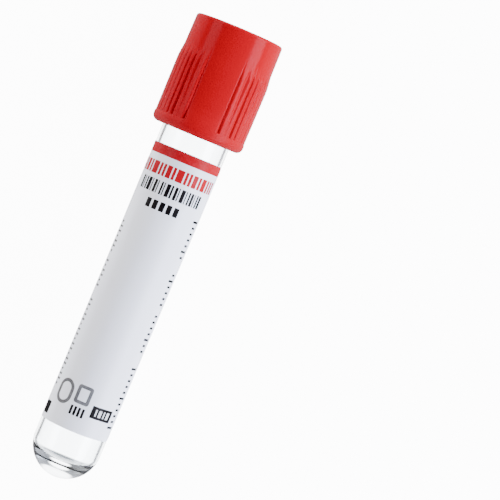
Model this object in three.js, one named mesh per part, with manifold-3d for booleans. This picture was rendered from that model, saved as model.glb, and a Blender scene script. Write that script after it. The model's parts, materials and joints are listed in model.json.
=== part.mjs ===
// A 13 x 75 mm blood collection tube with its safety closure, lying at rest on a flat surface.
//
// Four pieces: a clear plastic tube with a round end, the label stuck round it, a rubber stopper
// that plugs the mouth, and a plastic cap that holds the stopper and shields it.
//
// Every piece is drawn upright, in the tube's own frame: Z runs up the axis from the tip of the
// round end, and the front of the label faces -X. The whole is then laid down. Sizes are in mm.

import * as THREE from "three";
import { mergeVertices } from "three/addons/utils/BufferGeometryUtils.js";
import Module from "manifold-3d";

const wasm = await Module();
wasm.setup();

// ---------------------------------------------------------------- driving dimensions

// Tube: injection moulded, with a little draft, so it is widest at the mouth.
const TUBE_LENGTH = 75;
const MOUTH_RADIUS = 6.45; // outside
const BASE_RADIUS = 6.33; // outside, where the wall meets the round end
const TUBE_WALL = 0.75;
const FLOOR_THICKNESS = 2.4; // at its middle
const DISH_RADIUS = 9; // of the dished floor inside
const FLOOR_CORNER = 2; // radius between the dish and the wall
const LIP_ROUND = 0.25;

// Label: one strip of film that leaves a clear window down the back.
const LABEL_BASE = 9.5; // its lower edge, above the tip of the tube
const LABEL_HEIGHT = 54;
const LABEL_THICKNESS = 0.06;
const LABEL_CORNER = 1.2;
const LABEL_EDGE_ANGLE = 86; // degrees from the front round to the label's right-hand edge
const LABEL_WINDOW = 36; // degrees left bare
const GLUE_GAP = 0.03;

// How the closure sits on the tube.
const SKIRT_OVERLAP = 8.1; // how far the cap's skirt hangs down past the mouth
const SEAT_GAP = 0.1; // between faces that press on each other
const BORE_GAP = 0.08; // between the stopper's sealing rings and the bore

// Stopper: butyl rubber.
const PLUG_LENGTH = 6.3;
const RING_COUNT = 3;
const RING_BULGE = 0.22;
const FLANGE_OVERHANG = 0.3; // past the outside of the mouth
const FLANGE_THICKNESS = 4.9;
const BOSS_CLEARANCE = 0.35; // between the boss and the cap's collar
const TARGET_RADIUS = 3.1; // the well that a needle goes into
const TARGET_DEPTH = 3.2;
const HOLLOW_RADIUS = 3.4; // under the plug
const HOLLOW_DEPTH = 7.6;

// Cap: moulded shell with a collar that bears on the stopper.
const CAP_HEIGHT = 20.9;
const CAP_WALL = 1.51; // round the stopper's pocket, at the top
const CAP_EDGE_ROUND = 0.5;
const SHOULDER_DROP = 5.3; // below the top: the smooth shoulder ends here
const SHOULDER_DRAFT = 0.07; // gained in radius down the shoulder
const GRIP_DROP = 8.8; // below the top: the grip is at its widest here
const GRIP_FLARE = 0.29; // gained from the shoulder to the grip
const GRIP_DRAFT = 0.06; // lost from there to the rim
const RIM_PROUD = 0.1;
const RIM_HEIGHT = 1.9;
const RIM_ROUND = 1.2;
const RIM_STEP = 0.2; // height of the slope from the grip out to the rim
const SKIRT_CLEARANCE = 0.85; // round the tube
const TOP_WEB = 1.4;
const COLLAR_BORE = 4.9; // radius of the well in the top
const COLLAR_WALL = 1.1;
const WELL_DEPTH = 4.6; // from the cap's top down to the stopper's boss
const WELL_ROUND = 0.4;
const BEAD_BITE = 0.12; // the snap bead reaches this far under the flange
const BEAD_HEIGHT = 0.4;
const BEAD_SLOPE = 0.7;

// Grip grooves: V-shaped, in groups, one between each pair of smooth panels. A group is the same
// on both sides of its middle. Each pair of grooves has its turn from the middle in degrees, its
// depth at the lower end, the slant of each side of its V in degrees, and how far below the cap's
// top it runs out.
const GROOVE_GROUPS = 4;
const GROOVE_PAIRS = [
  { turn: 4.2, depth: 0.48, slant: 40, drop: 6.6 },
  { turn: 12.2, depth: 0.13, slant: 64, drop: 5.8 },
  { turn: 22, depth: 0.48, slant: 40, drop: 5.3 },
];

// Guide ribs inside the skirt centre it on the tube.
const GUIDE_COUNT = 8;
const GUIDE_WIDTH = 0.6;
const GUIDE_CLEARANCE = 0.25;
const GUIDE_LIFT = 1.4; // above the cap's lower edge

// Facets round each piece: a multiple of 4, so that a flat one lies underneath.
const TUBE_FACETS = 64;
const STOPPER_FACETS = 48;
const CAP_FACETS = 72;
const LABEL_FACETS = 60;

// ---------------------------------------------------------------- sizes that follow

const outsideOfTube = (z) =>
  THREE.MathUtils.mapLinear(z, BASE_RADIUS, TUBE_LENGTH, BASE_RADIUS, MOUTH_RADIUS);
const boreOfTube = (z) => outsideOfTube(z) - TUBE_WALL;

const capBase = TUBE_LENGTH - SKIRT_OVERLAP;
const capTop = capBase + CAP_HEIGHT;
const flangeBase = TUBE_LENGTH + SEAT_GAP;
const flangeTop = flangeBase + FLANGE_THICKNESS;
const flangeRadius = MOUTH_RADIUS + FLANGE_OVERHANG;
const pocketRadius = flangeRadius + SEAT_GAP;
const collarRadius = COLLAR_BORE + COLLAR_WALL;
const topRadius = pocketRadius + CAP_WALL;
const shoulderRadius = topRadius + SHOULDER_DRAFT;
const gripRadius = shoulderRadius + GRIP_FLARE;
const waistRadius = gripRadius - GRIP_DRAFT;
const rimRadius = waistRadius + RIM_PROUD;
const rimTop = capBase + RIM_HEIGHT;
const skirtRadius = MOUTH_RADIUS + SKIRT_CLEARANCE;

// ---------------------------------------------------------------- shared operations

const point = (r, z) => new THREE.Vector2(r, z);

// Points along an elliptical arc, from one angle to another, in degrees, ends included.
function arc(r, z, radiusR, radiusZ, from, to, steps) {
  return Array.from({ length: steps + 1 }, (_, i) => {
    const a = THREE.MathUtils.degToRad(THREE.MathUtils.lerp(from, to, i / steps));
    return point(r + radiusR * Math.cos(a), z + radiusZ * Math.sin(a));
  });
}

// Turns a profile of (radius, height) points round Z, with a flat facet on each of the four sides.
function revolve(profile, facets) {
  return new THREE.LatheGeometry(profile, facets, Math.PI / facets).rotateX(Math.PI / 2);
}

function solidOf(geometry) {
  const bare = geometry.clone();
  bare.deleteAttribute("normal");
  bare.deleteAttribute("uv");
  const merged = mergeVertices(bare, 1e-4);
  return new wasm.Manifold(
    new wasm.Mesh({
      numProp: 3,
      vertProperties: merged.attributes.position.array,
      triVerts: new Uint32Array(merged.index.array),
    }),
  );
}

function geometryOf(solid) {
  const { vertProperties, triVerts } = solid.getMesh();
  const geometry = new THREE.BufferGeometry();
  geometry.setAttribute("position", new THREE.BufferAttribute(vertProperties, 3));
  geometry.setIndex(new THREE.BufferAttribute(triVerts, 1));
  geometry.computeVertexNormals();
  return geometry;
}

// ---------------------------------------------------------------- tube

function tubeGeometry() {
  const wallTop = TUBE_LENGTH - LIP_ROUND;
  const dishCentre = FLOOR_THICKNESS + DISH_RADIUS;
  const cornerCentre = boreOfTube(BASE_RADIUS) - FLOOR_CORNER;
  const reach = DISH_RADIUS - FLOOR_CORNER;
  const cornerHeight = dishCentre - Math.sqrt(reach ** 2 - cornerCentre ** 2);
  const meeting = THREE.MathUtils.radToDeg(Math.asin(cornerCentre / reach)) - 90;
  const profile = [
    ...arc(0, BASE_RADIUS, BASE_RADIUS, BASE_RADIUS, -90, 0, 14),
    ...arc(outsideOfTube(wallTop) - LIP_ROUND, wallTop, LIP_ROUND, LIP_ROUND, 0, 90, 3),
    ...arc(boreOfTube(wallTop) + LIP_ROUND, wallTop, LIP_ROUND, LIP_ROUND, 90, 180, 3),
    ...arc(cornerCentre, cornerHeight, FLOOR_CORNER, FLOOR_CORNER, 0, meeting, 5),
    ...arc(0, dishCentre, DISH_RADIUS, DISH_RADIUS, meeting, -90, 6).slice(1),
  ];
  profile[0].x = 0;
  profile.at(-1).x = 0;
  return revolve(profile, TUBE_FACETS);
}

// ---------------------------------------------------------------- label

// The height of a rounded corner's cut at a distance along the strip from its nearer end.
function cornerCut(distance) {
  const inside = Math.max(0, LABEL_CORNER - distance);
  return LABEL_CORNER - Math.sqrt(LABEL_CORNER ** 2 - inside ** 2);
}

// Angles round the strip, from one end: close together round the corners, even between them.
function labelAngles(span, radius) {
  const cornerAngle = LABEL_CORNER / radius;
  const corner = [0, 0.1, 0.3, 0.6, 1].map((share) => share * cornerAngle);
  const even = Array.from({ length: LABEL_FACETS - 1 }, (_, i) =>
    THREE.MathUtils.lerp(cornerAngle, span - cornerAngle, (i + 1) / LABEL_FACETS),
  );
  return [...corner, ...even, ...corner.map((a) => span - a).reverse()];
}

// The strip's four-cornered section, swept round the tube and closed at both ends.
function labelGeometry() {
  const span = THREE.MathUtils.degToRad(360 - LABEL_WINDOW);
  const start = THREE.MathUtils.degToRad(LABEL_EDGE_ANGLE);
  const meanRadius = outsideOfTube(LABEL_BASE + LABEL_HEIGHT / 2) + GLUE_GAP;
  const positions = [];
  const faces = [];
  const angles = labelAngles(span, meanRadius);
  for (const angle of angles) {
    const cut = cornerCut(Math.min(angle, span - angle) * meanRadius);
    const low = LABEL_BASE + cut;
    const high = LABEL_BASE + LABEL_HEIGHT - cut;
    for (const [z, lift] of [[low, 0], [low, LABEL_THICKNESS], [high, LABEL_THICKNESS], [high, 0]]) {
      const r = outsideOfTube(z) + GLUE_GAP + lift;
      // Angles run from the front (-X) towards the right (-Y), and the strip runs back from its edge.
      positions.push(-r * Math.cos(start - angle), -r * Math.sin(start - angle), z);
    }
  }
  for (let ring = 0; ring < angles.length - 1; ring++) {
    for (let side = 0; side < 4; side++) {
      const a = ring * 4 + side;
      const b = ring * 4 + ((side + 1) % 4);
      faces.push(a, b, a + 4, b, b + 4, a + 4);
    }
  }
  const last = (angles.length - 1) * 4;
  faces.push(0, 2, 1, 0, 3, 2, last, last + 1, last + 2, last, last + 2, last + 3);
  const geometry = new THREE.BufferGeometry();
  geometry.setAttribute("position", new THREE.Float32BufferAttribute(positions, 3));
  geometry.setIndex(faces);
  geometry.computeVertexNormals();
  return geometry;
}

// ---------------------------------------------------------------- stopper

function stopperGeometry() {
  const plugEnd = flangeBase - PLUG_LENGTH;
  const ringRadius = boreOfTube(plugEnd) - BORE_GAP;
  const coreRadius = ringRadius - RING_BULGE;
  const ringPitch = PLUG_LENGTH / (RING_COUNT + 1);
  const bossRadius = COLLAR_BORE - BOSS_CLEARANCE;
  const bossTop = capTop - WELL_DEPTH;
  const edge = 0.35;
  const hollowEdge = 0.3;
  const ceiling = HOLLOW_RADIUS * 0.6; // height of the hollow's domed top
  const rings = Array.from({ length: RING_COUNT }, (_, i) =>
    arc(coreRadius, plugEnd + ringPitch * (i + 1), RING_BULGE, ringPitch * 0.36, -90, 90, 3),
  ).flat();
  const profile = [
    // the hollow under the plug, from its domed ceiling down
    ...arc(0, plugEnd + HOLLOW_DEPTH - ceiling, HOLLOW_RADIUS * 0.8, ceiling, 90, 0, 6),
    point(HOLLOW_RADIUS, plugEnd + hollowEdge),
    point(HOLLOW_RADIUS + hollowEdge, plugEnd),
    // the plug and its sealing rings
    point(coreRadius - edge, plugEnd),
    point(coreRadius, plugEnd + edge),
    ...rings,
    point(coreRadius, flangeBase),
    // the flange
    ...arc(flangeRadius - edge, flangeBase + edge, edge, edge, -90, 0, 3),
    ...arc(flangeRadius - edge, flangeTop - edge, edge, edge, 0, 90, 3),
    // the boss in the collar, with the needle's target sunk in it
    point(bossRadius, flangeTop),
    ...arc(bossRadius - edge, bossTop - edge, edge, edge, 0, 90, 3),
    point(TARGET_RADIUS + edge, bossTop),
    point(TARGET_RADIUS, bossTop - edge),
    ...arc(0, bossTop - TARGET_DEPTH + TARGET_RADIUS * 0.3, TARGET_RADIUS, TARGET_RADIUS * 0.3, 0, -90, 5),
  ];
  profile[0].x = 0;
  profile.at(-1).x = 0;
  return revolve(profile, STOPPER_FACETS);
}

// ---------------------------------------------------------------- cap

// The outside of the grip: a smooth swell from the shoulder to its widest, then a slight draft.
function capSide() {
  const steps = 4;
  return Array.from({ length: steps + 1 }, (_, i) => {
    const t = i / steps;
    const z = THREE.MathUtils.lerp(capTop - SHOULDER_DROP, capTop - GRIP_DROP, t);
    return point(shoulderRadius + GRIP_FLARE * THREE.MathUtils.smoothstep(t, 0, 1), z);
  });
}

function capShell() {
  const innerEdge = 0.25;
  const beadRadius = flangeRadius - BEAD_BITE;
  const pocketBase = flangeBase - 2 * SEAT_GAP;
  const beadTop = pocketBase - (pocketRadius - beadRadius);
  const beadBase = beadTop - BEAD_HEIGHT;
  const profile = [
    ...arc(topRadius - CAP_EDGE_ROUND, capTop - CAP_EDGE_ROUND, CAP_EDGE_ROUND, CAP_EDGE_ROUND, 90, 0, 4),
    ...capSide(),
    point(waistRadius, rimTop),
    point(rimRadius, rimTop - RIM_STEP),
    ...arc(rimRadius - RIM_ROUND, capBase + RIM_ROUND, RIM_ROUND, RIM_ROUND, 0, -90, 5),
    point(skirtRadius, capBase + innerEdge),
    // inside: the skirt, the snap bead under the flange, the stopper's pocket
    point(skirtRadius, beadBase - BEAD_SLOPE),
    point(beadRadius, beadBase),
    point(beadRadius, beadTop),
    point(pocketRadius, pocketBase),
    point(pocketRadius, capTop - TOP_WEB),
    // the collar, down to the stopper's flange and up its bore
    point(collarRadius, capTop - TOP_WEB),
    point(collarRadius, flangeTop + SEAT_GAP),
    point(COLLAR_BORE, flangeTop + SEAT_GAP),
    ...arc(COLLAR_BORE + WELL_ROUND, capTop - WELL_ROUND, WELL_ROUND, WELL_ROUND, 180, 90, 4),
  ];
  return solidOf(revolve([...profile, profile[0].clone()].reverse(), CAP_FACETS));
}

// One groove: blunt at the rim, and running out to a point at its top.
function grooveCutter(angle, { depth, slant, drop }) {
  const reach = 2; // how far the cutter stands clear of the surface
  const halfWidth = reach * Math.tan(THREE.MathUtils.degToRad(slant));
  const section = new THREE.Shape([point(0, 0), point(halfWidth, reach), point(-halfWidth, reach)]);
  const floorRadius = waistRadius - depth;
  const length = capTop - drop - rimTop;
  const lean = Math.atan2(shoulderRadius - floorRadius, length);
  return new THREE.ExtrudeGeometry(section, { depth: length / Math.cos(lean), bevelEnabled: false })
    .rotateX(-lean)
    .translate(0, floorRadius, rimTop)
    .rotateZ(THREE.MathUtils.degToRad(angle));
}

function guideRib(angle) {
  const inner = MOUTH_RADIUS + GUIDE_CLEARANCE;
  const outer = skirtRadius + 0.4 * (waistRadius - skirtRadius);
  const low = capBase + GUIDE_LIFT;
  const high = TUBE_LENGTH - BEAD_SLOPE;
  return new THREE.BoxGeometry(outer - inner, GUIDE_WIDTH, high - low)
    .translate((inner + outer) / 2, 0, (low + high) / 2)
    .rotateZ(THREE.MathUtils.degToRad(angle));
}

function capGeometry() {
  let cap = capShell();
  for (let i = 0; i < GUIDE_COUNT; i++) {
    cap = cap.add(solidOf(guideRib(((i + 0.5) * 360) / GUIDE_COUNT)));
  }
  for (let group = 0; group < GROOVE_GROUPS; group++) {
    const middle = ((group + 0.5) * 360) / GROOVE_GROUPS;
    for (const pair of GROOVE_PAIRS) {
      cap = cap.subtract(solidOf(grooveCutter(middle - pair.turn, pair)));
      cap = cap.subtract(solidOf(grooveCutter(middle + pair.turn, pair)));
    }
  }
  return geometryOf(cap);
}

// ---------------------------------------------------------------- materials

const clearPlastic = new THREE.MeshStandardMaterial({
  color: 0xf4f8fc,
  roughness: 0.05,
  metalness: 0,
  transparent: true,
  opacity: 0.35,
});
const labelFilm = new THREE.MeshStandardMaterial({ color: 0xe9e9ef, roughness: 0.45, metalness: 0 });
const redRubber = new THREE.MeshStandardMaterial({ color: 0x9c1f1c, roughness: 0.7, metalness: 0 });
const redPlastic = new THREE.MeshStandardMaterial({ color: 0xd31212, roughness: 0.32, metalness: 0 });

// ---------------------------------------------------------------- assembly

function piece(name, geometry, material) {
  const mesh = new THREE.Mesh(geometry, material);
  mesh.name = name;
  return mesh;
}

const tubeBody = new THREE.Group();
tubeBody.add(piece("tube", tubeGeometry(), clearPlastic), piece("label", labelGeometry(), labelFilm));

const closure = new THREE.Group();
closure.add(piece("stopper", stopperGeometry(), redRubber), piece("cap", capGeometry(), redPlastic));

// Lying down, the tube touches the surface at its round end and at the cap's rim, so the cap's end
// is raised. The angle is that of the line that touches both rounds from below.
function restAngle() {
  const along = capBase + RIM_ROUND - BASE_RADIUS;
  const across = rimRadius - RIM_ROUND;
  return Math.atan2(across, along) - Math.asin((BASE_RADIUS - RIM_ROUND) / Math.hypot(along, across));
}

const lying = new THREE.Group();
lying.add(tubeBody, closure);
lying.rotation.y = Math.PI / 2 - restAngle();

// The origin is under the middle of the whole, on the surface that it lies on.
const bounds = new THREE.Box3().setFromObject(lying, true);
const middle = bounds.getCenter(new THREE.Vector3());
lying.position.set(-middle.x, -middle.y, -bounds.min.z);

const bloodCollectionTube = new THREE.Group();
bloodCollectionTube.add(lying);

export default bloodCollectionTube;
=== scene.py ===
import json
import math

import bmesh
import bpy
from mathutils import Matrix, Vector


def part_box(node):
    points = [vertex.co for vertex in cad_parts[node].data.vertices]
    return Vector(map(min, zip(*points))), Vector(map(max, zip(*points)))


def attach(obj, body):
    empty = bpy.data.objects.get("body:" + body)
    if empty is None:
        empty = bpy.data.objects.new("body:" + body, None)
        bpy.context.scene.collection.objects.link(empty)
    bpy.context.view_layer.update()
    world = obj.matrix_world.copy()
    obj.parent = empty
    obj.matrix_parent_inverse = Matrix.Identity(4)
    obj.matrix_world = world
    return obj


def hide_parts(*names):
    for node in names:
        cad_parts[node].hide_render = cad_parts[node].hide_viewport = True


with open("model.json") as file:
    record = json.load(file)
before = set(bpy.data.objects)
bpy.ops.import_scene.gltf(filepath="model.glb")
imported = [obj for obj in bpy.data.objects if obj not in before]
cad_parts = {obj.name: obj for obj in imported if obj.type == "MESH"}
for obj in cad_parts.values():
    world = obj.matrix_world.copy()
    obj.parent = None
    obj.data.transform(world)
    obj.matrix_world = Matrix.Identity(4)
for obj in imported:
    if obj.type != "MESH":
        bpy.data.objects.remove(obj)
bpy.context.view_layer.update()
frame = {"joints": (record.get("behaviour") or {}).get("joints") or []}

# ------------------------------------------------------------------------------ camera and set
# A long lens looks down on the lying tube, square to its axis just under the cap, and is rolled
# so that the cap is at the upper right. The tube lies on a light table in a dark room, with four
# soft boxes round it.

MM = 0.001
BASE_RADIUS = 6.33

# Pieces are made upright, in millimetres, with the tip of the round end at the origin and the
# front of the label towards -X. This lays them down where the CAD solids lie.
axis = Vector(frame["joints"][0]["axis"]).normalized()
front = Vector((-axis.z, 0, axis.x))
tube_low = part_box("tube")[0]
round_centre = Vector((tube_low.x, 0, tube_low.z)) + Vector((1, 0, 1)) * BASE_RADIUS * MM
tip = round_centre - axis * BASE_RADIUS * MM
lay_down = Matrix.Identity(4)
for row in range(3):
    lay_down[row][0] = -front[row] * MM
    lay_down[row][1] = (0, MM, 0)[row]
    lay_down[row][2] = axis[row] * MM
    lay_down[row][3] = tip[row]

# The camera's place and aim are measured from the tip: up the tube, and to the right of it.
LENS_DISTANCE = 450
LENS_ALONG = 64.4
AIM_ALONG = 51.7
AIM_RIGHT = 17.0
ROLL = math.radians(22.7)
FOCAL_LENGTH = 178.5
SENSOR_WIDTH = 36
NEAREST = 0.01
FARTHEST = 10

eye = lay_down @ Vector((-LENS_DISTANCE, 0, LENS_ALONG))
aim = lay_down @ Vector((0, -AIM_RIGHT, AIM_ALONG))
right = Vector((0, -1, 0))
image_up = axis * math.cos(ROLL) - right * math.sin(ROLL)
back = (eye - aim).normalized()
across = image_up.cross(back).normalized()
upward = back.cross(across)
camera = bpy.data.objects.new("camera", bpy.data.cameras.new("camera"))
camera.matrix_world = Matrix((
    (across.x, upward.x, back.x, eye.x),
    (across.y, upward.y, back.y, eye.y),
    (across.z, upward.z, back.z, eye.z),
    (0, 0, 0, 1),
))
camera.data.lens = FOCAL_LENGTH
camera.data.sensor_width = SENSOR_WIDTH
camera.data.clip_start = NEAREST
camera.data.clip_end = FARTHEST
bpy.context.scene.collection.objects.link(camera)
bpy.context.scene.camera = camera


def softbox(name, where, towards, size, power, colour=(1, 1, 1)):
    """A soft box of a size in metres and a power in watts, turned towards a point."""
    lamp = bpy.data.lights.new(name, "AREA")
    lamp.shape = "RECTANGLE"
    lamp.size, lamp.size_y = size
    lamp.energy = power
    lamp.color = colour
    stand = bpy.data.objects.new(name, lamp)
    stand.location = where
    facing = Vector(towards) - Vector(where)
    stand.rotation_euler = facing.to_track_quat("-Z", "Y").to_euler()
    bpy.context.scene.collection.objects.link(stand)


softbox("softbox_right", where=(0, -0.45, 0.26), towards=(0, 0, 0), size=(0.9, 0.26), power=16.0,
        colour=(0.8, 0.85, 1.0))
softbox("softbox_left", where=(0, 0.43, 0.27), towards=(0, 0, 0), size=(0.9, 0.24), power=3.8,
        colour=(1.0, 0.98, 0.97))
softbox("softbox_base", where=(-0.5, 0, 0.45), towards=(0, 0, 0), size=(0.8, 0.5), power=1.2)
softbox("softbox_top", where=(0.6, 0, 0.16), towards=(0.04, 0, 0), size=(0.8, 0.3), power=8.0)

# The room is dark at the horizon and overhead, with a grey band between them, which draws the
# edges of clear and glossy surfaces. The lens itself sees a pale backdrop.
ROOM_TONES = (
    (0.16, (0.02, 0.02, 0.022, 1)),
    (0.3, (0.4, 0.41, 0.43, 1)),
    (0.6, (0.4, 0.41, 0.43, 1)),
    (0.8, (0.03, 0.03, 0.032, 1)),
)
BACKDROP = (2.0, 2.0, 2.0, 1)

world = bpy.data.worlds.new("studio")
world.use_nodes = True
sky = world.node_tree
sky.nodes.clear()
direction = sky.nodes.new("ShaderNodeTexCoord")
parts = sky.nodes.new("ShaderNodeSeparateXYZ")
bands = sky.nodes.new("ShaderNodeValToRGB")
stops = bands.color_ramp.elements
stops.remove(stops[1])
stops[0].position, stops[0].color = ROOM_TONES[0]
for height, colour in ROOM_TONES[1:]:
    stops.new(height).color = colour
seen = sky.nodes.new("ShaderNodeLightPath")
tone = sky.nodes.new("ShaderNodeMix")
tone.data_type = "RGBA"
tone.inputs["B"].default_value = BACKDROP
glow = sky.nodes.new("ShaderNodeBackground")
surround = sky.nodes.new("ShaderNodeOutputWorld")
sky.links.new(direction.outputs["Generated"], parts.inputs[0])
sky.links.new(parts.outputs["Z"], bands.inputs["Fac"])
sky.links.new(bands.outputs["Color"], tone.inputs["A"])
sky.links.new(seen.outputs["Is Camera Ray"], tone.inputs["Factor"])
sky.links.new(tone.outputs["Result"], glow.inputs["Color"])
sky.links.new(glow.outputs[0], surround.inputs["Surface"])
bpy.context.scene.world = world

# The table's top lies a hair below the tube, so that the two share no surface.
TABLE_HALF_WIDTH = 4
TABLE_DROP = 0.0001

table_top = bmesh.new()
bmesh.ops.create_grid(table_top, x_segments=1, y_segments=1, size=TABLE_HALF_WIDTH)
floor_mesh = bpy.data.meshes.new("floor")
table_top.to_mesh(floor_mesh)
table_top.free()
floor = bpy.data.objects.new("floor", floor_mesh)
floor.location.z = -TABLE_DROP
bpy.context.scene.collection.objects.link(floor)


def surface(name, colour, roughness):
    """A new material with one Principled BSDF, and its node tree."""
    made = bpy.data.materials.new(name)
    made.use_nodes = True
    tree = made.node_tree
    shader = tree.nodes["Principled BSDF"]
    shader.inputs["Base Color"].default_value = (*colour, 1)
    shader.inputs["Roughness"].default_value = roughness
    return made, tree, shader


# The floor is a light table. Its film sends the light straight up, so that it is bright to what
# looks down on it or through clear plastic, and dim to a slanting look or in what mirrors it.
# Matt surfaces get an even share of it.
BEAM_STRENGTH = 12.0
BEAM_CORE = 0.03
BEAM_EDGE = 0.18
SLANTING_STRENGTH = 0.1
MATT_STRENGTH = 5.2

light_table, tree, shader = surface("light_table", (0.25, 0.25, 0.25), 0.9)
shader.inputs["Emission Color"].default_value = (1, 1, 1, 1)
slope = tree.nodes.new("ShaderNodeLayerWeight")
beam = tree.nodes.new("ShaderNodeMapRange")
beam.interpolation_type = "SMOOTHSTEP"
beam.inputs["From Min"].default_value = BEAM_CORE
beam.inputs["From Max"].default_value = BEAM_EDGE
beam.inputs["To Min"].default_value = BEAM_STRENGTH
beam.inputs["To Max"].default_value = SLANTING_STRENGTH
seen = tree.nodes.new("ShaderNodeLightPath")
mirrored = tree.nodes.new("ShaderNodeMix")
mirrored.inputs["B"].default_value = SLANTING_STRENGTH
spread = tree.nodes.new("ShaderNodeMix")
spread.inputs["B"].default_value = MATT_STRENGTH
tree.links.new(slope.outputs["Facing"], beam.inputs["Value"])
tree.links.new(seen.outputs["Is Reflection Ray"], mirrored.inputs["Factor"])
tree.links.new(beam.outputs[0], mirrored.inputs["A"])
tree.links.new(seen.outputs["Is Diffuse Ray"], spread.inputs["Factor"])
tree.links.new(mirrored.outputs[0], spread.inputs["A"])
tree.links.new(spread.outputs[0], shader.inputs["Emission Strength"])
floor_mesh.materials.append(light_table)

# ------------------------------------------------------------------------------ tube
# The tube is injection moulded from clear PET, with a thin wall, a thick round floor and a smooth
# rounded lip. Mould draft makes the mouth a little wider than the base.

TUBE_LENGTH = 75.0
MOUTH_RADIUS = 6.45
TUBE_WALL = 0.75
FLOOR_THICKNESS = 2.6
DISH_RADIUS = 12.0
FLOOR_CORNER = 2.6
LIP_ROUND = 0.25
WALL_STEP = 6


def outside_of_tube(z):
    """The tube's outer radius at a height, with its draft."""
    share = (z - BASE_RADIUS) / (TUBE_LENGTH - BASE_RADIUS)
    return BASE_RADIUS + share * (MOUTH_RADIUS - BASE_RADIUS)


def bore_at(z):
    """The radius of the bore at a height."""
    return outside_of_tube(z) - TUBE_WALL


def arc(r, z, radius, start, end, steps, rise=None):
    """Points (radius, height) along an arc, angles in degrees, ends included.

    It is a circle's, or an ellipse's where its rise isn't its radius.
    """
    turns = [math.radians(start + (end - start) * i / steps) for i in range(steps + 1)]
    return [(r + radius * math.cos(a), z + (rise or radius) * math.sin(a)) for a in turns]


def turned(profile, steps, closed=False, angle=math.tau):
    """The profile is spun round the Z axis, once round unless an angle is given."""
    bm = bmesh.new()
    verts = [bm.verts.new((max(r, 0), 0, z)) for r, z in profile]
    pairs = list(zip(verts, verts[1:]))
    if closed:
        pairs.append((verts[-1], verts[0]))
    edges = [bm.edges.new(pair) for pair in pairs]
    bmesh.ops.spin(bm, geom=verts + edges, cent=(0, 0, 0), axis=(0, 0, 1), angle=angle,
                   steps=steps, use_merge=angle == math.tau)
    bmesh.ops.remove_doubles(bm, verts=bm.verts, dist=1e-5)
    bmesh.ops.recalc_face_normals(bm, faces=bm.faces)
    return bm


def piece(name, bm, body, material, stands_for=None, crease=40):
    """Lays the mesh down, makes it an object, and fastens it to its body."""
    bmesh.ops.transform(bm, matrix=lay_down, verts=bm.verts)
    mesh = bpy.data.meshes.new(name)
    bm.to_mesh(mesh)
    bm.free()
    mesh.shade_smooth()
    mesh.set_sharp_from_angle(angle=math.radians(crease))
    mesh.materials.append(material)
    made = bpy.data.objects.new(name, mesh)
    bpy.context.scene.collection.objects.link(made)
    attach(made, body)
    if stands_for:
        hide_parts(stands_for)


def new_effect(name, numbers, colours, output, kind):
    """A node group that takes a position, numbers and colours, and gives one output."""
    group = bpy.data.node_groups.new(name, "ShaderNodeTree")
    sockets = [("Position", "NodeSocketVector")]
    sockets += [(number, "NodeSocketFloat") for number in numbers]
    sockets += [(colour, "NodeSocketColor") for colour in colours]
    for socket, socket_kind in sockets:
        group.interface.new_socket(name=socket, in_out="INPUT", socket_type=socket_kind)
    group.interface.new_socket(name=output, in_out="OUTPUT", socket_type=kind)
    return group, group.nodes.new("NodeGroupInput"), group.nodes.new("NodeGroupOutput")


def put_effect(tree, group, place, **values):
    """Puts an effect in a material with its own values, at the piece's own positions."""
    node = tree.nodes.new("ShaderNodeGroup")
    node.node_tree = group
    for name, value in values.items():
        node.inputs[name].default_value = value
    tree.links.new(place.outputs["Object"], node.inputs["Position"])
    return node


# Light scuffs from handling: fine crossed scratches in patches, which dull a gloss a little.
SCRATCH_TURNS = (0.5, -0.9)
SCRATCH_STRETCH = (250, 900, 900)

scuffs, given, taken = new_effect(
    "light_scuffs", ("Clean", "Worn"), (), "Roughness", "NodeSocketFloat")
scratches = []
for turn in SCRATCH_TURNS:
    lean = scuffs.nodes.new("ShaderNodeMapping")
    lean.inputs["Rotation"].default_value = (turn, turn * 0.4, turn)
    lean.inputs["Scale"].default_value = SCRATCH_STRETCH
    streak = scuffs.nodes.new("ShaderNodeTexNoise")
    streak.inputs["Scale"].default_value = 2.2
    streak.inputs["Detail"].default_value = 3
    thin = scuffs.nodes.new("ShaderNodeMapRange")
    thin.inputs["From Min"].default_value = 0.62
    thin.inputs["From Max"].default_value = 0.72
    scuffs.links.new(given.outputs["Position"], lean.inputs["Vector"])
    scuffs.links.new(lean.outputs[0], streak.inputs["Vector"])
    scuffs.links.new(streak.outputs["Fac"], thin.inputs["Value"])
    scratches.append(thin)
patch = scuffs.nodes.new("ShaderNodeTexNoise")
patch.inputs["Scale"].default_value = 140
patch.inputs["Detail"].default_value = 4
either = scuffs.nodes.new("ShaderNodeMath")
either.operation = "MAXIMUM"
within = scuffs.nodes.new("ShaderNodeMath")
within.operation = "MULTIPLY"
level = scuffs.nodes.new("ShaderNodeMapRange")
scuffs.links.new(given.outputs["Position"], patch.inputs["Vector"])
scuffs.links.new(scratches[0].outputs[0], either.inputs[0])
scuffs.links.new(scratches[1].outputs[0], either.inputs[1])
scuffs.links.new(either.outputs[0], within.inputs[0])
scuffs.links.new(patch.outputs["Fac"], within.inputs[1])
scuffs.links.new(within.outputs[0], level.inputs["Value"])
scuffs.links.new(given.outputs["Clean"], level.inputs["To Min"])
scuffs.links.new(given.outputs["Worn"], level.inputs["To Max"])
scuffs.links.new(level.outputs[0], taken.inputs["Roughness"])

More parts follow.
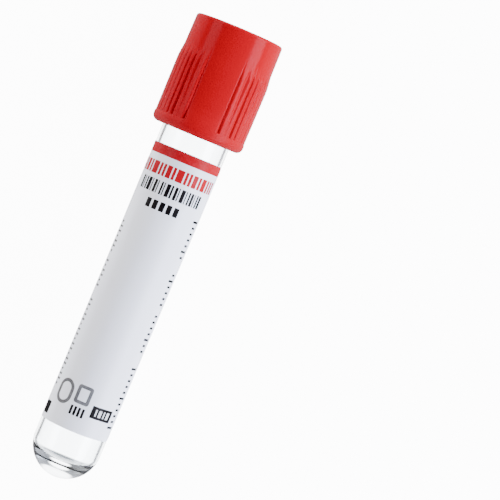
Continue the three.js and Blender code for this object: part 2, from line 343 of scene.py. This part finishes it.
# A fine unevenness of a moulded or coated surface, its depth in metres.
ripple, given, taken = new_effect(
    "surface_ripple", ("Scale", "Detail", "Depth", "Strength"), (), "Normal", "NodeSocketVector")
wave = ripple.nodes.new("ShaderNodeTexNoise")
bump = ripple.nodes.new("ShaderNodeBump")
ripple.links.new(given.outputs["Position"], wave.inputs["Vector"])
ripple.links.new(given.outputs["Scale"], wave.inputs["Scale"])
ripple.links.new(given.outputs["Detail"], wave.inputs["Detail"])
ripple.links.new(given.outputs["Depth"], bump.inputs["Distance"])
ripple.links.new(given.outputs["Strength"], bump.inputs["Strength"])
ripple.links.new(wave.outputs["Fac"], bump.inputs["Height"])
ripple.links.new(bump.outputs[0], taken.inputs["Normal"])

clear, tree, shader = surface("clear_pet", (0.95, 0.98, 1.0), 0.02)
shader.inputs["Transmission Weight"].default_value = 1
shader.inputs["IOR"].default_value = 1.57
place = tree.nodes.new("ShaderNodeTexCoord")
worn = put_effect(tree, scuffs, place, Clean=0.015, Worn=0.16)
uneven = put_effect(tree, ripple, place, Scale=180, Detail=2, Depth=0.00002, Strength=1)
tree.links.new(worn.outputs["Roughness"], shader.inputs["Roughness"])
tree.links.new(uneven.outputs["Normal"], shader.inputs["Normal"])

wall_heights = range(WALL_STEP, int(TUBE_LENGTH), WALL_STEP)
wall_top = TUBE_LENGTH - LIP_ROUND
dish_centre = FLOOR_THICKNESS + DISH_RADIUS
corner_centre = bore_at(BASE_RADIUS) - FLOOR_CORNER
corner_reach = DISH_RADIUS - FLOOR_CORNER
corner_turn = math.degrees(math.asin(corner_centre / corner_reach))
corner_height = dish_centre - math.sqrt(corner_reach ** 2 - corner_centre ** 2)
tube_profile = [
    *arc(0, BASE_RADIUS, BASE_RADIUS, -90, 0, 36),
    *[(outside_of_tube(z), z) for z in wall_heights[1:]],
    *arc(outside_of_tube(wall_top) - LIP_ROUND, wall_top, LIP_ROUND, 0, 90, 6),
    *arc(bore_at(wall_top) + LIP_ROUND, wall_top, LIP_ROUND, 90, 180, 6),
    *[(bore_at(z), z) for z in reversed(wall_heights)],
    *arc(corner_centre, corner_height, FLOOR_CORNER, 0, corner_turn - 90, 12),
    *arc(0, dish_centre, DISH_RADIUS, corner_turn - 90, -90, 16)[1:],
]
tube = turned(tube_profile, steps=160)
piece("clear_tube", tube, "tube", clear, "tube")

# ------------------------------------------------------------------------------ label
# The label is one strip of printed white film, stuck round the tube by its own adhesive. Its
# corners are rounded, and it leaves a bare window down the back to see the level through.

LABEL_BASE = 9.5
LABEL_HEIGHT = 54.0
LABEL_THICKNESS = 0.06
LABEL_CORNER = 1.2
GLUE_THICKNESS = 0.03

# Turns round the tube are in degrees from the middle of the front, and to the right of it. Times
# to_arc they are millimetres across the label.
LABEL_RIGHT = 86
LABEL_WINDOW = 36
BEND_STEP = 2.5
wrap_radius = outside_of_tube(LABEL_BASE + LABEL_HEIGHT / 2) + GLUE_THICKNESS
to_arc = math.radians(1) * wrap_radius
label_right = LABEL_RIGHT * to_arc
label_left = (LABEL_RIGHT - 360 + LABEL_WINDOW) * to_arc


def box_corners(left, low, width, tall):
    """The corners of an upright oblong, across the label and up the tube."""
    return [(left, low), (left + width, low), (left + width, low + tall), (left, low + tall)]


def flat_shapes(shapes):
    """Flat faces in label coordinates, each given by its corners."""
    bm = bmesh.new()
    for corners in shapes:
        bm.faces.new([bm.verts.new((x, y, 0)) for x, y in corners])
    return bm


def round_corners(bm, radius, segments):
    """Rounds every corner of a flat shape."""
    bmesh.ops.bevel(bm, geom=bm.verts[:], offset=radius, affect="VERTICES", segments=segments,
                    profile=0.5, material=-1)


def wrap_round(bm, lift, thickness):
    """Gives flat shapes their thickness and wraps them round the tube, lifted off its surface."""
    step = BEND_STEP * to_arc
    lowest = min(v.co.x for v in bm.verts)
    highest = max(v.co.x for v in bm.verts)
    for i in range(math.floor(lowest / step) + 1, math.ceil(highest / step)):
        bmesh.ops.bisect_plane(bm, geom=bm.verts[:] + bm.edges[:] + bm.faces[:],
                               plane_co=(i * step, 0, 0), plane_no=(1, 0, 0), dist=1e-5)
    skin = bmesh.ops.extrude_face_region(bm, geom=bm.faces[:])
    raised = [v for v in skin["geom"] if isinstance(v, bmesh.types.BMVert)]
    bmesh.ops.translate(bm, vec=(0, 0, thickness), verts=raised)
    for vert in bm.verts:
        x, y, z = vert.co
        turn = x / wrap_radius
        r = outside_of_tube(y) + lift + z
        vert.co = (-r * math.cos(turn), -r * math.sin(turn), y)
    bmesh.ops.recalc_face_normals(bm, faces=bm.faces)


# A tone that drifts between two colours in soft clouds, from a low to a high level of the cloud.
uneven_tone, given, taken = new_effect(
    "uneven_tone", ("Scale", "Detail", "Low", "High"), ("Tone", "Drift"), "Color",
    "NodeSocketColor")
cloud = uneven_tone.nodes.new("ShaderNodeTexNoise")
between = uneven_tone.nodes.new("ShaderNodeMapRange")
blend = uneven_tone.nodes.new("ShaderNodeMix")
blend.data_type = "RGBA"
uneven_tone.links.new(given.outputs["Position"], cloud.inputs["Vector"])
uneven_tone.links.new(given.outputs["Scale"], cloud.inputs["Scale"])
uneven_tone.links.new(given.outputs["Detail"], cloud.inputs["Detail"])
uneven_tone.links.new(cloud.outputs["Fac"], between.inputs["Value"])
uneven_tone.links.new(given.outputs["Low"], between.inputs["From Min"])
uneven_tone.links.new(given.outputs["High"], between.inputs["From Max"])
uneven_tone.links.new(between.outputs[0], blend.inputs["Factor"])
uneven_tone.links.new(given.outputs["Tone"], blend.inputs["A"])
uneven_tone.links.new(given.outputs["Drift"], blend.inputs["B"])
uneven_tone.links.new(blend.outputs["Result"], taken.inputs["Color"])

film, tree, shader = surface("printed_film", (0.655, 0.665, 0.735), 0.4)
place = tree.nodes.new("ShaderNodeTexCoord")
drift = put_effect(tree, uneven_tone, place, Scale=90, Detail=5, Low=0, High=1,
                   Tone=(0.63, 0.64, 0.71, 1), Drift=(0.68, 0.69, 0.76, 1))
uneven = put_effect(tree, ripple, place, Scale=900, Detail=4, Depth=0.00002, Strength=0.5)
tree.links.new(drift.outputs["Color"], shader.inputs["Base Color"])
tree.links.new(uneven.outputs["Normal"], shader.inputs["Normal"])

strip = flat_shapes([box_corners(label_left, LABEL_BASE, label_right - label_left, LABEL_HEIGHT)])
round_corners(strip, LABEL_CORNER, segments=8)
wrap_round(strip, GLUE_THICKNESS, LABEL_THICKNESS)
piece("label_strip", strip, "tube", film, "label")

# ------------------------------------------------------------------------------ print
# Plain ink, printed on the film: a red band along its top edge, rows of red and black bars, ticks
# up both sides, two grey outlines, and a black patch with pale bars. It spells nothing, and each
# shape is a thin film of its own.

INK_THICKNESS = 0.012
INK_LIFT = 0.002
ink_lift = GLUE_THICKNESS + LABEL_THICKNESS + INK_LIFT


def ink(name, colour, pale, roughness):
    """Ink that covers the film a little unevenly."""
    made, tree, shader = surface(name, colour, roughness)
    shader.inputs["Specular IOR Level"].default_value = 0.06
    place = tree.nodes.new("ShaderNodeTexCoord")
    drift = put_effect(tree, uneven_tone, place, Scale=1500, Detail=3, Low=0.45, High=0.85,
                       Tone=(*colour, 1), Drift=(*pale, 1))
    tree.links.new(drift.outputs["Color"], shader.inputs["Base Color"])
    return made


red_ink = ink("red_ink", (0.27, 0.002, 0.007), (0.31, 0.01, 0.018), 0.35)
black_ink = ink("black_ink", (0.002, 0.0015, 0.002), (0.008, 0.007, 0.007), 0.4)
grey_ink = ink("grey_ink", (0.09, 0.09, 0.095), (0.15, 0.15, 0.16), 0.4)
pale_ink = ink("pale_ink", (0.5, 0.5, 0.52), (0.35, 0.35, 0.37), 0.4)


def print_shapes(name, shapes, material, lift=ink_lift):
    """Prints flat outlines on the label, each given by its corners in label coordinates."""
    bm = flat_shapes(shapes)
    wrap_round(bm, lift, INK_THICKNESS)
    piece(name, bm, "tube", material)


def bars(left, low, tall, widths, gaps):
    """Upright bars of the given widths from the left, each with its gap after it."""
    shapes = []
    for width, gap in zip(widths, gaps):
        shapes.append(box_corners(left, low, width, tall))
        left += width + gap
    return shapes


def ticks(middle, low, pitch, tall, widths, left_out):
    """Ticks up the label, centred on one line, with some left out."""
    shapes = []
    for i, width in enumerate(widths):
        if i not in left_out:
            shapes.append(box_corners(middle - width / 2, low + i * pitch, width, tall))
    return shapes


# The band's left end is given in millimetres in from the label's edge and down from its top.
BAND_END = ((0.06, 1.87), (0.06, 1.2), (0.4, 0.4), (1.2, 0.06))
label_top = LABEL_BASE + LABEL_HEIGHT
band_left = [(label_left + inward, label_top - down) for inward, down in BAND_END]
band_right = [(label_left + label_right - x, y) for x, y in reversed(band_left)]
print_shapes("red_band", [band_left + band_right], red_ink)

HEADING_WIDTHS = (0.5, 1.0, 0.5, 0.5, 0.9, 0.5, 1.3, 0.5, 0.5, 0.9,
                  0.5, 1.3, 0.5, 0.5, 0.9, 0.5, 1.0, 0.5, 0.5, 0.6)
HEADING_GAPS = [0.28] * len(HEADING_WIDTHS)
heading = bars(left=-100 * to_arc, low=58.05, tall=2.3, widths=HEADING_WIDTHS, gaps=HEADING_GAPS)
print_shapes("red_heading_bars", heading, red_ink)

CODE_WIDTHS = (0.5, 0.2, 0.35, 0.7, 0.2, 0.5, 0.2, 0.35, 0.2, 0.7,
               0.35, 0.5, 0.2, 0.7, 0.2, 0.35, 0.5, 0.2, 0.35, 0.5)
CODE_GAPS = (0.2, 0.35, 0.2, 0.2, 0.35, 0.2, 0.5, 0.2, 0.35, 0.2,
             0.35, 0.2, 0.35, 0.2, 0.35, 0.2, 0.2, 0.35, 0.2, 0.2)
code = bars(left=-63 * to_arc, low=54.8, tall=2.4, widths=CODE_WIDTHS, gaps=CODE_GAPS)
print_shapes("black_code_bars", code, black_ink)

short_row = bars(left=-35 * to_arc, low=52.0, tall=1.7, widths=[0.9] * 5, gaps=[0.45] * 5)
print_shapes("short_row", short_row, black_ink)

RIGHT_TICKS = (1.9, 1.1, 1.1, 1.1, 1.1) * 7 + (1.9,)
LEFT_TICKS = (0.9, 1.7, 1.7) * 11 + (0.9,)
right_scale = ticks(middle=66 * to_arc, low=12.05, pitch=1.15, tall=0.42, widths=RIGHT_TICKS,
                    left_out=(11, 12, 20, 27, 28))
left_scale = ticks(middle=-73 * to_arc, low=16.0, pitch=0.96, tall=0.36, widths=LEFT_TICKS,
                   left_out=(18, 19, 26))
print_shapes("right_scale", right_scale, black_ink)
print_shapes("left_scale", left_scale, grey_ink)

PATCH_LEFT = 15 * to_arc
PATCH_INSET = 0.8
left_block = box_corners(left=-80 * to_arc, low=10.5, width=2.2, tall=2.3)
small_row = bars(left=-19 * to_arc, low=12.3, tall=1.7, widths=[0.45] * 4, gaps=[0.3] * 4)
black_patch = box_corners(left=PATCH_LEFT, low=13.0, width=4.5, tall=2.3)
patch_bars = bars(left=PATCH_LEFT + PATCH_INSET, low=13.5, tall=1.3, widths=(0.3, 0.6, 0.3, 0.6),
                  gaps=[0.4] * 4)
print_shapes("left_block", [left_block], black_ink)
print_shapes("small_row", small_row, black_ink)
print_shapes("black_patch", [black_patch], black_ink)
print_shapes("patch_bars", patch_bars, pale_ink, lift=ink_lift + INK_THICKNESS)

OUTLINE_STROKE = 0.62


def print_outline(name, left, low, width, tall, corner):
    """Prints a closed outline with rounded corners, as a grey line of even width."""
    bm = flat_shapes([box_corners(left, low, width, tall)])
    round_corners(bm, corner, segments=10)
    line = bmesh.ops.inset_region(bm, faces=bm.faces[:], thickness=OUTLINE_STROKE,
                                  use_boundary=True, use_even_offset=True)
    middle = [f for f in bm.faces if f not in line["faces"]]
    bmesh.ops.delete(bm, geom=middle, context="FACES")
    wrap_round(bm, ink_lift, INK_THICKNESS)
    piece(name, bm, "tube", grey_ink)


print_outline("grey_loop", left=-55 * to_arc, low=13.4, width=3.4, tall=4.7, corner=1.69)
print_outline("grey_frame", left=-19 * to_arc, low=14.6, width=2.9, tall=3.5, corner=0.5)

# ------------------------------------------------------------------------------ stopper
# The stopper is moulded butyl rubber. Three sealing rings stand out of its plug, its flange sits
# on the tube's rim, and a well in its boss thins it where the needle goes in.

PLUG_LENGTH = 6.3
CLEARANCE = 0.1
BORE_CLEARANCE = 0.08
RING_COUNT = 3
RING_BULGE = 0.22
FLANGE_RADIUS = MOUTH_RADIUS + 0.3
FLANGE_THICKNESS = 4.9
BOSS_RADIUS = 4.55
BOSS_FILLET = 0.2
RUBBER_EDGE = 0.35
HOLLOW_RADIUS = 3.4
HOLLOW_DEPTH = 7.6
HOLLOW_EDGE = 0.3
NEEDLE_WELL_RADIUS = 3.1
NEEDLE_WELL_DEPTH = 3.2
CAP_TOP = 87.8
BOSS_DROP = 4.6

flange_base = TUBE_LENGTH + CLEARANCE
flange_top = flange_base + FLANGE_THICKNESS
plug_end = flange_base - PLUG_LENGTH
core_radius = bore_at(plug_end) - BORE_CLEARANCE - RING_BULGE
ring_pitch = PLUG_LENGTH / (RING_COUNT + 1)
ring_rise = ring_pitch * 0.36
boss_top = CAP_TOP - BOSS_DROP
dome_rise = HOLLOW_RADIUS * 0.6
dome_radius = HOLLOW_RADIUS * 0.8
well_sag = NEEDLE_WELL_RADIUS * 0.3
well_bend = boss_top - NEEDLE_WELL_DEPTH + well_sag
stopper_profile = [
    *arc(0, plug_end + HOLLOW_DEPTH - dome_rise, dome_radius, 90, 0, 14, rise=dome_rise),
    *arc(HOLLOW_RADIUS + HOLLOW_EDGE, plug_end + HOLLOW_EDGE, HOLLOW_EDGE, 180, 270, 4),
    *arc(core_radius - RUBBER_EDGE, plug_end + RUBBER_EDGE, RUBBER_EDGE, -90, 0, 5),
]
for i in range(RING_COUNT):
    middle = plug_end + ring_pitch * (i + 1)
    stopper_profile += arc(core_radius, middle, RING_BULGE, -90, 90, 8, rise=ring_rise)
stopper_profile += [
    (core_radius, flange_base),
    *arc(FLANGE_RADIUS - RUBBER_EDGE, flange_base + RUBBER_EDGE, RUBBER_EDGE, -90, 0, 5),
    *arc(FLANGE_RADIUS - RUBBER_EDGE, flange_top - RUBBER_EDGE, RUBBER_EDGE, 0, 90, 5),
    *arc(BOSS_RADIUS + BOSS_FILLET, flange_top + BOSS_FILLET, BOSS_FILLET, 270, 180, 3),
    *arc(BOSS_RADIUS - RUBBER_EDGE, boss_top - RUBBER_EDGE, RUBBER_EDGE, 0, 90, 6),
    *arc(NEEDLE_WELL_RADIUS + RUBBER_EDGE, boss_top - RUBBER_EDGE, RUBBER_EDGE, 90, 180, 6),
    *arc(0, well_bend, NEEDLE_WELL_RADIUS, 0, -90, 14, rise=well_sag),
]

rubber, tree, shader = surface("butyl_rubber", (0.12, 0.006, 0.005), 0.6)
place = tree.nodes.new("ShaderNodeTexCoord")
drift = put_effect(tree, uneven_tone, place, Scale=260, Detail=5, Low=0, High=1,
                   Tone=(0.12, 0.006, 0.005, 1), Drift=(0.17, 0.02, 0.016, 1))
worn = put_effect(tree, scuffs, place, Clean=0.55, Worn=0.8)
uneven = put_effect(tree, ripple, place, Scale=1400, Detail=4, Depth=0.00003, Strength=0.6)
tree.links.new(drift.outputs["Color"], shader.inputs["Base Color"])
tree.links.new(worn.outputs["Roughness"], shader.inputs["Roughness"])
tree.links.new(uneven.outputs["Normal"], shader.inputs["Normal"])
stopper = turned(stopper_profile, steps=128)
piece("rubber_stopper", stopper, "closure", rubber, "stopper")

# ------------------------------------------------------------------------------ cap
# The cap is a moulded red polypropylene shell. A snap bead holds the stopper in it, guide ribs
# centre its skirt on the tube, and V grooves for the fingers run up its side between four smooth
# panels.

CAP_HEIGHT = 20.9
CAP_WALL = 1.51
CAP_EDGE = 0.5
POCKET_RADIUS = FLANGE_RADIUS + CLEARANCE
TOP_RADIUS = POCKET_RADIUS + CAP_WALL
SHOULDER_RADIUS = TOP_RADIUS + 0.07
GRIP_RADIUS = SHOULDER_RADIUS + 0.29
WAIST_RADIUS = GRIP_RADIUS - 0.06
RIM_RADIUS = WAIST_RADIUS + 0.1
RIM_HEIGHT = 1.9
RIM_ROUND = 1.2
RIM_STEP = 0.2
RIM_EASE = 0.03
SHOULDER_DROP = 5.3
GRIP_DROP = 8.8
SKIRT_RADIUS = MOUTH_RADIUS + 0.85
SKIRT_EDGE = 0.12
BEAD_RADIUS = FLANGE_RADIUS - 0.12
BEAD_SLOPE = 1.1
BEAD_FLAT = 0.4
GUIDE_TURNS = (22.5, 67.5)
GUIDE_WIDTH = 0.6
GUIDE_FLANK = 0.16
GUIDE_RADIUS = MOUTH_RADIUS + 0.25
GUIDE_LIFT = 1.4
GUIDE_RUN = 0.3
COLLAR_BORE = 4.9
COLLAR_RADIUS = 6.0
COLLAR_EDGE = 0.4
TOP_WEB = 1.4
WEB_FILLET = 0.3

# Rows of points down the side: the first one's drop from the top, and their spacing. They are
# closest where the grooves run out.
SIDE_ROWS = ((0.5, 0.4, range(1, 11)), (4.7, 0.22, range(18)), (8.9, 0.5, range(20)))
RIM_ROWS = (0.16, 0.12, 0.08, 0.04, 0)

cap_base = CAP_TOP - CAP_HEIGHT
rim_top = cap_base + RIM_HEIGHT
pocket_base = flange_base - 2 * CLEARANCE
bead_top = pocket_base - (POCKET_RADIUS - BEAD_RADIUS)
web_base = CAP_TOP - TOP_WEB
guide_low = cap_base + GUIDE_LIFT + GUIDE_RUN
guide_high = bead_top - BEAD_SLOPE


def eased(t):
    """A share from 0 to 1 with soft ends."""
    t = min(max(t, 0), 1)
    return t * t * (3 - 2 * t)


def side_radius(z):
    """The cap's side between the shoulder and the rim, before its grooves are cut."""
    drop = CAP_TOP - z
    if drop < SHOULDER_DROP:
        share = (drop - CAP_EDGE) / (SHOULDER_DROP - CAP_EDGE)
        return TOP_RADIUS + (SHOULDER_RADIUS - TOP_RADIUS) * share
    if drop < GRIP_DROP:
        share = eased((drop - SHOULDER_DROP) / (GRIP_DROP - SHOULDER_DROP))
        return SHOULDER_RADIUS + (GRIP_RADIUS - SHOULDER_RADIUS) * share
    share = (drop - GRIP_DROP) / (CAP_TOP - rim_top - GRIP_DROP)
    return GRIP_RADIUS + (WAIST_RADIUS - GRIP_RADIUS) * share


side_heights = []
for first, spacing, rows in SIDE_ROWS:
    side_heights += [CAP_TOP - first - spacing * i for i in rows]
side_heights += [rim_top + rise for rise in RIM_ROWS]
cap_profile = [
    *arc(TOP_RADIUS - CAP_EDGE, CAP_TOP - CAP_EDGE, CAP_EDGE, 90, 0, 8),
    *[(side_radius(z), z) for z in side_heights],
    (RIM_RADIUS - RIM_EASE, rim_top - RIM_STEP * 0.6),
    (RIM_RADIUS, rim_top - RIM_STEP),
    *arc(RIM_RADIUS - RIM_ROUND, cap_base + RIM_ROUND, RIM_ROUND, 0, -90, 12),
    *arc(SKIRT_RADIUS + SKIRT_EDGE, cap_base + SKIRT_EDGE, SKIRT_EDGE, 270, 180, 3),
    (SKIRT_RADIUS, guide_low - GUIDE_RUN),
    (SKIRT_RADIUS, guide_low),
    (SKIRT_RADIUS, guide_high),
    (BEAD_RADIUS, bead_top - BEAD_FLAT),
    (BEAD_RADIUS, bead_top),
    (POCKET_RADIUS, pocket_base),
    (POCKET_RADIUS, web_base - WEB_FILLET),
    *arc(POCKET_RADIUS - WEB_FILLET, web_base - WEB_FILLET, WEB_FILLET, 0, 90, 3),
    (COLLAR_RADIUS, web_base),
    (COLLAR_RADIUS, flange_top + CLEARANCE),
    (COLLAR_BORE, flange_top + CLEARANCE),
    *arc(COLLAR_BORE + COLLAR_EDGE, CAP_TOP - COLLAR_EDGE, COLLAR_EDGE, 180, 90, 6),
]
shell = turned(cap_profile, steps=144, closed=True, angle=math.tau / 4)

TOLERANCE = 0.01


def set_radius(vert, radius):
    """Moves a point straight in or out from the axis."""
    share = radius / math.hypot(vert.co.x, vert.co.y)
    vert.co.x *= share
    vert.co.y *= share


# Guide ribs stand inside the skirt, two in each quarter: the skirt's own points come inwards.
for vert in shell.verts:
    x, y, z = vert.co
    r = math.hypot(x, y)
    if r > SKIRT_RADIUS + TOLERANCE or not guide_low - TOLERANCE < z < guide_high + TOLERANCE:
        continue
    turn = math.degrees(math.atan2(y, x))
    aside = r * math.radians(min(abs(turn - guide) for guide in GUIDE_TURNS))
    share = eased((GUIDE_WIDTH / 2 + GUIDE_FLANK / 2 - aside) / GUIDE_FLANK)
    set_radius(vert, r - share * (r - GUIDE_RADIUS))

# Each groove's turn from the middle of the front or back panel in degrees, its depth at the rim,
# the slant of its sides in degrees, and how far below the cap's top it runs out.
GROOVES = (
    (22.6, 0.4, 38, 5.3),
    (32, 0.06, 62, 5.6),
    (40.6, 0.4, 40, 6.4),
    (48.8, 0.3, 38, 6.8),
    (57, 0.16, 42, 7.2),
    (67, 0.2, 42, 5.6),
)
GROOVE_LIMIT = 5.0
GROOVE_HOLD = 4
GROOVE_END = 0.14
ROOT_ROUND = 0.05
EDGE_ROUND = 0.1
EDGE_TRIM = 0.012
PANEL_DIP = 0.2
PANEL_RUN = 3.4


def panel_radius(z):
    """The smooth front and back panels lie a little lower than the grip, and run into the rim."""
    dip = PANEL_DIP * eased((CAP_TOP - z - SHOULDER_DROP) / (GRIP_DROP - SHOULDER_DROP))
    share = eased((z - rim_top + RIM_STEP) / PANEL_RUN)
    return RIM_RADIUS * (1 - share) + (side_radius(z) - dip) * share


# A point of the side belongs to the groove nearest to it, and a deep groove holds more of them.
# Its V is rounded at the root and at its edges, and it ends bluntly at the rim.
for vert in shell.verts:
    x, y, z = vert.co
    r = math.hypot(x, y)
    grooved = rim_top - RIM_STEP - TOLERANCE < z < CAP_TOP - GROOVE_LIMIT
    if r < SKIRT_RADIUS + TOLERANCE or not grooved:
        continue
    turn = math.degrees(math.atan2(y, x))
    skin = panel_radius(z) if turn < GROOVES[0][0] else r
    groove = min(GROOVES, key=lambda each: abs(turn - each[0]) - each[1] * GROOVE_HOLD)
    middle, deep, slant, drop = groove
    share = (z - rim_top) / (CAP_TOP - drop - rim_top)
    root = (WAIST_RADIUS - deep) * (1 - share) + SHOULDER_RADIUS * share
    aside = math.hypot(r * math.radians(turn - middle), ROOT_ROUND)
    depth = skin - root - aside / math.tan(math.radians(slant))
    depth = (depth + math.hypot(depth, EDGE_ROUND)) / 2 - EDGE_TRIM
    depth = max(depth, 0) * min(max((z - rim_top) / GROOVE_END, 0), 1)
    set_radius(vert, skin - depth)

# The quarter is mirrored to the other three, so that the panels and grooves match.
quarter = shell.verts[:] + shell.edges[:] + shell.faces[:]
for flip in ((-1, 1, 1), (1, -1, 1), (-1, -1, 1)):
    copied = bmesh.ops.duplicate(shell, geom=quarter)
    moved = [v for v in copied["geom"] if isinstance(v, bmesh.types.BMVert)]
    bmesh.ops.scale(shell, vec=flip, verts=moved)
bmesh.ops.remove_doubles(shell, verts=shell.verts, dist=1e-4)
bmesh.ops.recalc_face_normals(shell, faces=shell.faces)

# The side is worn matt at its lower end, where it is held, and keeps its gloss above.
MATT_ROUGHNESS = 0.36
MATT_FROM = 1.0
MATT_TO = 9.5

plastic, tree, shader = surface("red_polypropylene", (0.265, 0.0001, 0.0045), 0.24)
shader.inputs["Specular IOR Level"].default_value = 0.1
shader.inputs["Specular Tint"].default_value = (1, 0.4, 0.43, 1)
place = tree.nodes.new("ShaderNodeTexCoord")
worn = put_effect(tree, scuffs, place, Clean=0.17, Worn=0.27)
uneven = put_effect(tree, ripple, place, Scale=700, Detail=3, Depth=0.00002, Strength=0.5)
up_the_tube = tree.nodes.new("ShaderNodeVectorMath")
up_the_tube.operation = "DOT_PRODUCT"
up_the_tube.inputs[1].default_value = axis
matt = tree.nodes.new("ShaderNodeMapRange")
matt.interpolation_type = "SMOOTHSTEP"
matt.inputs["From Min"].default_value = axis.dot(tip) + (cap_base + MATT_FROM) * MM
matt.inputs["From Max"].default_value = axis.dot(tip) + (cap_base + MATT_TO) * MM
matt.inputs["To Min"].default_value = 1
matt.inputs["To Max"].default_value = 0
gloss = tree.nodes.new("ShaderNodeMix")
gloss.inputs["B"].default_value = MATT_ROUGHNESS
tree.links.new(place.outputs["Object"], up_the_tube.inputs[0])
tree.links.new(up_the_tube.outputs["Value"], matt.inputs["Value"])
tree.links.new(matt.outputs[0], gloss.inputs["Factor"])
tree.links.new(worn.outputs["Roughness"], gloss.inputs["A"])
tree.links.new(gloss.outputs[0], shader.inputs["Roughness"])
tree.links.new(uneven.outputs["Normal"], shader.inputs["Normal"])
piece("safety_cap", shell, "closure", plastic, "cap", crease=50)
